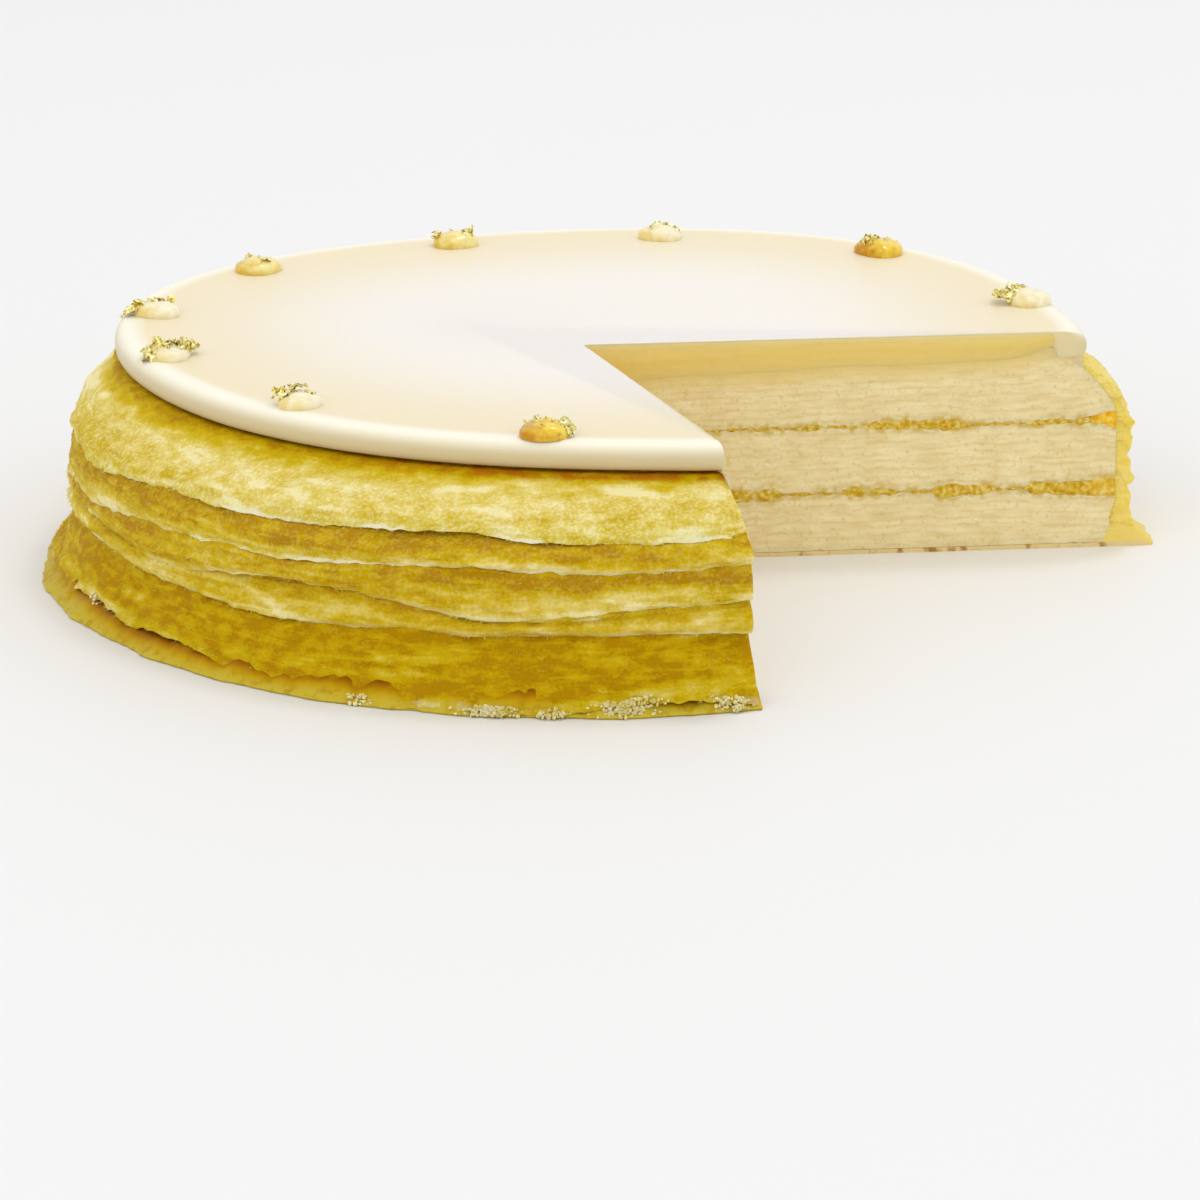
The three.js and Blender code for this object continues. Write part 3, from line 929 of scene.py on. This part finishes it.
def drape_shape(index, angle, radius, z, t, lumps):
    """The outer and inner radius and the height, with folds down the side and waves along the hem."""
    ragged = DRAPE_TRAITS[index][1]
    waves = 0.6 * lumps((15, 15, 60), 0) + 0.35 * lumps((4.5, 4.5, 60), 1) + 0.3 * lumps((1.8, 1.8, 60), 2)
    z = z + ragged * waves * t ** 3
    beside_cut = smoothstep(30, 8, angle)
    tuck = 1.3 + 0.4 * beside_cut + 0.5 * lumps((22, 22, 60), 13)
    if index == len(DRAPES) - 1:
        # The lowest drape comes down on to the base, flares out at the right and is lifted at the left.
        low = smoothstep(215, 245, angle)
        lifted = window(angle, LIFTED)
        z = np.maximum(z - (lerp(1.6, 2.6, low) - 1.3 * lifted) * t ** 2, LOWEST_HEM)
        tuck = 0.9 - lerp(1.0, 2.6, low) * (1 - beside_cut) + 0.8 * lifted
    ruffle = 0.5 * lumps((7, 7, 9), 3) + 0.3 * lumps((2.6, 2.6, 5), 4)
    folds = 0.8 * lumps((34, 34, 4.5), 5) + 0.6 * lumps((13, 13, 2.4), 6)
    folds += 0.35 * lumps((3.2, 3.2, 1.8), 7, 3)
    swell = 0.7 * np.sin(math.pi * t) - tuck * t ** 4 - 0.6 * foot_trim(angle, z)
    swell += (index == 0) * smoothstep(0.15, 0, t)
    radius = radius + swell + folds * smoothstep(0, 0.2, t) + ruffle * t ** 3
    wall = wall_radius(angle.ravel(), z.ravel()).reshape(t.shape)
    thin = smoothstep(0.55, 0.98, t) * (1 - beside_cut)
    inner = lerp(np.minimum(wall, radius - 0.8), radius - 0.32, thin)
    return radius, inner, z


def drape_colours(index, angle, t, lumps):
    """How deep the colour is, and how much pale edge, brown, frost and gold there is, at each vertex."""
    bright, _, frost, stops, depths = DRAPE_TRAITS[index]
    top = index == 0
    right = smoothstep(250, 275, angle) * top
    # Painted shade deepens the top drape to the left and under the rim.
    left = window(angle, SHADED_LEFT) * top
    shaded = window(angle, SHADED) * smoothstep(0.45, 0.25, t) * top
    patches = 0.22 * lumps((26, 26, 5), 8) + 0.1 * lumps((5, 5, 9), 9) + 0.2 * lumps((16, 16, 1.6), 12)
    depth = np.interp(t * (1 + 0.3 * right + 0.2 * left), stops, depths) + patches * (0.6 if top else 1)
    # Painted shade adds depth on the left and under the rim.
    depth = depth + 0.06 * left + 0.2 * shaded - 0.15 * bright * smoothstep(0.8, 0.97, t)
    depth = lerp(np.clip(depth, 0, 1), 0.15, 0.9 * smoothstep(*PALE_END, angle))
    shown = 0.6 * smoothstep(212, 238, angle) + 0.3 * smoothstep(190, 178, angle)
    edge_break = smoothstep(0.25, 0.75, lumps((9, 9, 60), 10) + shown)
    edge_start = 0.915 + 0.035 * lumps((2.5, 2.5, 60), 11)
    edge = 0.85 * bright * edge_break * smoothstep(edge_start, edge_start + 0.04, t)
    brown = smoothstep(0.12, 0.02, t) * (smoothstep(228, 250, angle) if top else 0.2)
    return {
        "depth": depth, "edge": edge, "brown": brown, "frost": frost * smoothstep(0.15, 0.4, t),
        "golden": 0.7 * smoothstep(*GOLDEN_END, angle),
    }


def make_drape(node, index, material):
    """A crepe's edge hanging down the side, tucked in above, swelling out and thinning to a ragged hem.

    Returns its outer surface as [angle, radius, height] for each column and row."""
    angle, radius, z, t = drape_surface(node, index)
    ring = np.concatenate([unit(angle) * SIDE_RADIUS, (HEM_DEPTH * t)[..., None]], -1).reshape(-1, 3)

    def lumps(size, offset, octaves=1):
        return fractal(ring, size, octaves, 100 * (index + 1) + offset).reshape(t.shape)

    radius, inner_radius, z = drape_shape(index, angle, radius, z, t, lumps)
    outer = np.concatenate([unit(angle) * radius[..., None], z[..., None]], -1)
    inner = np.concatenate([unit(angle) * inner_radius[..., None], z[..., None]], -1)
    section = np.concatenate([outer, inner[:, ::-INNER_STEP]], 1)
    attributes = {}
    for key, values in drape_colours(index, angle, t, lumps).items():
        attributes[key] = np.concatenate([values, values[:, ::-INNER_STEP]], 1).ravel()
    vertices = section.reshape(-1, 3)
    make_piece(node, vertices, drape_faces(), material, [node], attributes, sharp=75)
    return np.stack([angle, radius, z], -1)


def drape_faces():
    """Faces of a drape's closed section swept from cut to cut, and of its two ends."""
    inner_rows = (DRAPE_ROWS - 1) // INNER_STEP + 1
    rows = DRAPE_ROWS + inner_rows
    i, j = np.meshgrid(np.arange(DRAPE_COLUMNS - 1), np.arange(rows), indexing="ij")
    i, j = i.ravel(), j.ravel()
    up = (j + 1) % rows
    sides = [i * rows + j, i * rows + up, (i + 1) * rows + up, (i + 1) * rows + j]
    faces = np.stack(sides, 1).tolist()
    last = (DRAPE_COLUMNS - 1) * rows
    for k in range(inner_rows - 1):
        end = [*range(k * INNER_STEP, (k + 1) * INNER_STEP + 1), rows - 2 - k, rows - 1 - k]
        faces.append(end[::-1])
        faces.append([last + n for n in end])
    return faces


FIBRES_PER_DRAPE = 1100


def make_fibres(surfaces, material):
    """Torn fibres of crepe that stand out along the hems, each a thin closed spike."""
    rng = np.random.default_rng(90)
    upward = np.array([0, 0, 1])
    vertices = []
    for surface in surfaces:
        column = rng.integers(8, DRAPE_COLUMNS - 8, FIBRES_PER_DRAPE)
        row = DRAPE_ROWS - 1 - np.floor(rng.random(FIBRES_PER_DRAPE) ** 2 * 0.8 * DRAPE_ROWS).astype(int)
        angle, radius, z = surface[column, row].T
        out = np.column_stack([unit(angle), np.zeros(len(z))])
        along = np.column_stack([unit(angle + 90), np.zeros(len(z))])
        foot = out * (radius - 0.15)[:, None] + upward * z[:, None]
        length = rng.uniform(0.3, 1.1, len(z))[:, None]
        lean = rng.normal(0, 0.6, len(z))[:, None]
        drop = rng.uniform(-0.9, 0.3, len(z))[:, None]
        tip = foot + length * (out + lean * along + drop * upward)
        half = rng.uniform(0.06, 0.16, len(z))[:, None]
        corners = [foot + half * along, foot - half * along, foot + half * upward, tip]
        vertices.append(np.stack(corners, 1))
    vertices = np.concatenate(vertices)
    vertices[..., 2] = np.maximum(vertices[..., 2], 0.15)
    starts = 4 * np.arange(len(vertices))
    sides = ((0, 1, 2), (0, 3, 1), (1, 3, 2), (2, 3, 0))
    faces = [[int(start) + corner for corner in side] for start in starts for side in sides]
    attributes = {"depth": np.full(4 * len(vertices), 0.35)}
    make_piece("hem_fibres", vertices.reshape(-1, 3), faces, material, None, attributes)


FOAM_PATCHES = (
    # angle at its middle, half its width in degrees, bubbles
    (258.5, 2.0, 230), (264.0, 1.2, 70), (271.0, 2.2, 260), (280.5, 1.4, 90), (246.0, 1.0, 40),
    (206.0, 1.0, 24), (174.0, 2.0, 110), (140.0, 1.8, 90), (97.0, 2.6, 160), (58.0, 2.0, 100),
    (24.0, 2.2, 110),
)


def ball():
    """Vertices and triangles of a ball with radius 1."""
    shape = bmesh.new()
    bmesh.ops.create_icosphere(shape, subdivisions=2, radius=1)
    shape.verts.index_update()
    vertices = np.array([vertex.co for vertex in shape.verts])
    faces = np.array([[vertex.index for vertex in face.verts] for face in shape.faces])
    shape.free()
    return vertices, faces


def make_foam(surface, material):
    """Pale bubbles of crepe batter that have run out under the lowest hem."""
    rng = np.random.default_rng(77)
    unit_ball, sides = ball()
    vertices, faces = [], []
    for middle, half, count in FOAM_PATCHES:
        for _ in range(count):
            angle = middle + half * rng.normal(0, 0.6)
            column = np.abs(surface[:, -1, 0] - angle).argmin()
            _, radius, hem = surface[min(max(column, 4), DRAPE_COLUMNS - 5), -1]
            drop = rng.random() ** 0.8
            size = rng.uniform(0.14, 0.42)
            height = max(lerp(hem + 1.6, 0.5, drop), size)
            place = np.append(unit(angle) * (radius - 0.1 + 1.4 * drop * rng.random()), height)
            stretched = unit_ball * size * rng.uniform(0.7, 1.3, 3)
            faces.extend((sides + len(unit_ball) * len(vertices)).tolist())
            vertices.append(stretched + place)
    vertices = np.concatenate(vertices)
    attributes = {"depth": np.full(len(vertices), 0.2), "edge": np.full(len(vertices), 0.1)}
    make_piece("batter_foam", vertices, faces, material, None, attributes)


def flange_edge(angle):
    """The radius of the lowest crepe's edge, trimmed beside the back cut."""
    return FLANGE_RADIUS(angle) - 0.5 * foot_trim(angle, 0)


def make_base_crepe(material):
    """The lowest crepe, thin at its ragged rim and rising inwards to the hem above it."""
    bottom, top = heights("base_crepe")
    inset, share = np.array(BASE_PROFILE).T

    def end(angle, v):
        row = round(v * (len(BASE_PROFILE) - 1))
        around = with_height(SIDE_RADIUS * unit(angle))
        ragged = 0.9 * noise(around, 13, 61) + 0.5 * noise(around, 4, 62) + 0.25 * noise(around, 1.4, 63)
        lumps = 1 + 0.35 * noise(around, 6, 64) + 0.2 * noise(around, 2.2, 65)
        z = lerp(bottom, top, np.minimum(share[row], 1)) + np.maximum(share[row] - 1, 0) * lumps
        return flange_edge(angle) - inset[row] + ragged - 0.4, z

    layer = Layer(level(bottom), level(top), end, rows=len(BASE_PROFILE), blend=9)
    layer.relief(cut_relief(layer.flat_points()) + 0.12)
    points = layer.flat_points()
    angle, distance = polar(points)
    from_edge = flange_edge(angle) - distance
    cut = layer.on_face().ravel() * smoothstep(1.2, 0.8, points[:, 2])
    beside_cut = smoothstep(26, 12, angle)
    # Painted shade, deepening further in under the hem, and less beside the back cut.
    inner = smoothstep(0.8, 6.5, from_edge) * (1 - 0.75 * beside_cut)
    attributes = {"inner": inner, "cut": cut, "pale": 0.8 * beside_cut}
    layer.make("base_crepe", material, attributes)


# ---------------------------------------------------------------- gel drops and gold leaf

GEL_LOOKS = {
    # colour of the painted light where light comes through, and of the painted shade where it is deep
    "amber": ((246, 214, 72), (200, 140, 0)),
    "honey": ((248, 232, 160), (222, 186, 62)),
    "pale": ((250, 242, 212), (238, 214, 138)),
}
DROP_LOOKS = ("pale", "pale", "pale", "amber", "honey", "honey", "pale", "amber", "pale")
DROP_RINGS = 14
DROP_SPOKES = 40


def make_drop(index, materials):
    """A domed drop with a lobed outline. Returns the point its gold leaf lies about, and its width."""
    node = f"gel_drop_{index}"
    low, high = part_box(node)
    centre = np.array([(low.x + high.x) / 2, (low.y + high.y) / 2]) / MM
    width = (high.x - low.x) / MM
    height = (high.z - low.z) / MM
    foot = heights("cream_cap")[1] - 0.05
    rings = np.linspace(0, 1, DROP_RINGS)[1:]
    turn = np.linspace(0, 2 * math.pi, DROP_SPOKES, endpoint=False)
    seed = 400 + 10 * index
    lobes = 1 + 0.07 * np.cos(2 * turn + index) + 0.05 * np.cos(3 * turn + 2.1 * index)
    profile_out = np.sin(rings * math.pi * 0.54)
    profile_up = np.cos(rings * math.pi * 0.5) ** 0.75
    vertices = [[*centre, foot + height]]
    depth = [0.3]
    for out, up in zip(profile_out, profile_up):
        ring = centre + (0.5 * width * out * lobes)[:, None] * unit(np.degrees(turn))
        bulge = 0.3 * noise(with_height(ring, up * 5), 2.6, seed)
        vertices.extend(np.column_stack([ring, foot + up * height + bulge * up]).tolist())
        # Painted light on one side and painted shade towards the foot.
        depth.extend(0.3 + 0.5 * (1 - up) - 0.45 * out * np.cos(turn + 0.3))
    faces = drop_faces(len(rings))
    material = materials[DROP_LOOKS[index - 1]]
    make_piece(node, vertices, faces, material, [node], {"depth": depth}, sharp=80)
    return np.array([*centre, foot + 0.75 * height]), width


def drop_faces(ring_count):
    """Faces from the drop's top vertex down its rings, and its flat underside."""
    faces = [[0, 1 + k, 1 + (k + 1) % DROP_SPOKES] for k in range(DROP_SPOKES)]
    for r in range(ring_count - 1):
        for k in range(DROP_SPOKES):
            after = (k + 1) % DROP_SPOKES
            a, b = 1 + r * DROP_SPOKES, 1 + (r + 1) * DROP_SPOKES
            faces.append([a + k, b + k, b + after, a + after])
    last = 1 + (ring_count - 1) * DROP_SPOKES
    faces.append([last + k for k in range(DROP_SPOKES)][::-1])
    return faces


# A scrap is a square sheet of this many points a side, torn off where its ragged distance passes this.
SCRAP_GRID = 17
TORN_EDGE = 1.1
LEAF_THICKNESS = 0.06


def gold_clump(centre, size, seed):
    """One crumpled scrap of gold leaf bending over its drop, as vertices and faces of a thin sheet."""
    count = SCRAP_GRID
    rng = np.random.default_rng(seed)
    u, v = np.meshgrid(np.linspace(-1, 1, count), np.linspace(-1, 1, count), indexing="ij")
    reach = np.hypot(u, v).ravel()
    flat = np.stack([u.ravel(), v.ravel(), np.zeros(count * count)], 1) * size / 2
    crumple = 0.22 * size * noise(flat, size / 3.5, seed) + 0.12 * size * noise(flat, size / 9, seed + 1)
    shift = np.stack([noise(flat, size / 5, seed + 2), noise(flat, size / 5, seed + 3)], 1) * 0.12 * size
    sheet = flat + np.column_stack([shift, crumple - 0.12 * size * reach ** 2])
    tilt = rng.uniform(-0.5, 0.5, 2)
    spin = rng.uniform(0, 2 * math.pi)
    turn = np.array(Euler((*tilt, spin)).to_matrix())
    sheet = sheet @ turn.T + centre
    torn = reach + 0.3 * noise(flat, size / 3, seed + 4) + 0.2 * noise(flat, size / 8, seed + 5)
    kept = [face for face in grid_faces(count, count) if max(torn[n] for n in face) < TORN_EDGE]
    return sheet, kept


def thicken(vertices, faces, thickness):
    """Gives a thin sheet a back face and edges, so that it is closed."""
    used = sorted({n for face in faces for n in face})
    index = {n: k for k, n in enumerate(used)}
    front = np.asarray(vertices)[used]
    faces = [[index[n] for n in face] for face in faces]
    normals = np.zeros_like(front)
    for face in faces:
        a, b, c = (front[face[i]] for i in (0, 1, 2))
        cross = np.cross(b - a, c - a)
        normals[face] += cross / (np.linalg.norm(cross) + 1e-9)
    normals /= np.linalg.norm(normals, axis=1)[:, None] + 1e-9
    count = len(front)
    edges = dict.fromkeys(pair for face in faces for pair in zip(face, face[1:] + face[:1]))
    rim = [(a, b) for a, b in edges if (b, a) not in edges]
    closed = faces + [[n + count for n in face[::-1]] for face in faces]
    closed += [[b, a, a + count, b + count] for a, b in rim]
    return np.concatenate([front, front - normals * thickness]), closed


GOLD_SCRAPS = (
    # drop, shift to the right and back as shares of its width, size in mm, height above the middle in mm
    (1, -0.30, 0.25, 6.5, 0.2), (1, -0.60, 0.0, 4.8, -0.6), (1, 0.1, 0.35, 4.1, 0.4),
    (2, -0.28, -0.1, 7.0, 0.1), (2, 0.36, 0.2, 6.2, 0.5), (2, 0.0, 0.2, 2.9, 1.0),
    (3, -0.24, 0.0, 5.5, 0.7), (3, 0.12, 0.1, 4.6, 0.1), (3, -0.05, 0.3, 3.6, 1.4),
    (4, 0.22, -0.1, 6.2, 0.2), (4, -0.15, 0.2, 5.3, 0.4),
    (5, 0.0, -0.05, 5.5, 0.3), (5, -0.25, 0.1, 3.1, 0.3),
    (6, 0.1, -0.05, 6.0, 0.3), (6, -0.35, 0.0, 4.1, -0.2),
    (7, 0.0, 0.0, 6.2, 0.4), (7, 0.3, 0.1, 3.6, 0.1),
    (8, 0.0, 0.0, 7.0, 0.4), (8, -0.3, 0.0, 4.3, 0.0), (8, 0.28, 0.1, 3.6, 0.1),
    (9, -0.42, 0.0, 6.5, 0.3), (9, -0.1, 0.0, 5.0, 0.2), (9, -0.25, 0.1, 3.4, 1.3),
)


def make_gold_leaf(drops, material):
    """All the scraps as one piece. drops are the points that they lie about, and the drops' widths."""
    vertices, faces = [], []
    for number, (drop, across, back, size, rise) in enumerate(GOLD_SCRAPS):
        centre, width = drops[drop - 1]
        spot = centre + np.array([across * width, back * width, rise])
        sheet, kept = gold_clump(spot, size, 700 + 11 * number)
        body, closed = thicken(sheet, kept, LEAF_THICKNESS)
        offset = sum(len(part) for part in vertices)
        vertices.append(body)
        faces.extend([[n + offset for n in face] for face in closed])
    make_piece("gold_leaf", np.concatenate(vertices), faces, material, None, sharp=30)


# ---------------------------------------------------------------- stage

# The lens and the sensor are in millimetres.
LENS = 166.94
SENSOR_WIDTH = 36.0
# The rest is in metres and degrees. The camera looks along +Y and down.
CAMERA_PLACE = (-0.00366, -1.1192, 0.3119)
CAMERA_PITCH = 16.093
CAMERA_REACH = 50.0
FLOOR_HALF = 6.0
FLOOR_GREY = 0.88
SKY_STRENGTH = 0.86
LIGHTS = (
    # name, place, size, watts
    ("key", (0.35, 0.5, 1.6), 0.35, 4),
    ("fill", (-0.5, -1.5, 1.1), 1.4, 5),
)


def make_stage():
    """Camera, pale floor, even white surroundings and two soft lights."""
    scene = bpy.context.scene
    make_camera(scene)
    make_floor(scene)
    world = bpy.data.worlds.new("world")
    world.use_nodes = True
    background = world.node_tree.nodes["Background"]
    background.inputs["Color"].default_value = (1, 1, 1, 1)
    background.inputs["Strength"].default_value = SKY_STRENGTH
    scene.world = world
    for light in LIGHTS:
        area_light(*light)
    scene.view_settings.view_transform = "Standard"


def make_camera(scene):
    camera = bpy.data.objects.new("camera", bpy.data.cameras.new("camera"))
    camera.data.lens = LENS
    camera.data.sensor_width = SENSOR_WIDTH
    camera.data.clip_end = CAMERA_REACH
    camera.location = CAMERA_PLACE
    camera.rotation_euler = (math.radians(90 - CAMERA_PITCH), 0, 0)
    scene.collection.objects.link(camera)
    scene.camera = camera


def make_floor(scene):
    mesh = bpy.data.meshes.new("floor")
    corners = [(x * FLOOR_HALF, y * FLOOR_HALF, 0) for x, y in ((-1, -1), (1, -1), (1, 1), (-1, 1))]
    mesh.from_pydata(corners, [], [(0, 1, 2, 3)])
    look = Shader("floor_look", roughness=0.6)
    look.set("Base Color", (FLOOR_GREY, FLOOR_GREY, FLOOR_GREY, 1))
    mesh.materials.append(look.material)
    floor = bpy.data.objects.new("floor", mesh)
    scene.collection.objects.link(floor)


def area_light(name, place, size, power):
    """A square soft light aimed at the cake."""
    light = bpy.data.lights.new(name, "AREA")
    light.size = size
    light.energy = power
    lamp = bpy.data.objects.new(name, light)
    lamp.location = place
    aim = -np.array(place)
    lamp.rotation_euler = (math.atan2(math.hypot(aim[0], aim[1]), -aim[2]), 0, math.atan2(-aim[0], aim[1]))
    bpy.context.scene.collection.objects.link(lamp)


# ---------------------------------------------------------------- the cake

def make_cake():
    """Every piece of the cake, from the stacks out to the gold leaf."""
    stack = stack_material()
    lower_bottom = heights("lower_crepe_stack")[0]
    make_stack("lower_crepe_stack", level(lower_bottom - 0.25), LOWER_BAND[0], stack, seed=1)
    make_stack("middle_crepe_stack", LOWER_BAND[1], UPPER_BAND[0], stack, seed=2)
    make_stack("upper_crepe_stack", UPPER_BAND[1], under_cap, stack, seed=3)
    filling = filling_material()
    make_filling("lower_filling", LOWER_BAND, filling, seed=11, stain=0.3)
    make_filling("upper_filling", UPPER_BAND, filling, seed=12, stain=1.0)
    make_custard(custard_material())
    make_cream_cap(cream_material())
    drape = drape_material()
    surfaces = [make_drape(node, index, drape) for index, node in enumerate(DRAPES)]
    make_fibres(surfaces, drape)
    make_foam(surfaces[-1], drape)
    make_base_crepe(base_material())
    gels = {name: gel_material(f"{name}_gel_look", *look) for name, look in GEL_LOOKS.items()}
    drops = [make_drop(number, gels) for number in range(1, 10)]
    make_gold_leaf(drops, gold_material())


make_stage()
make_cake()
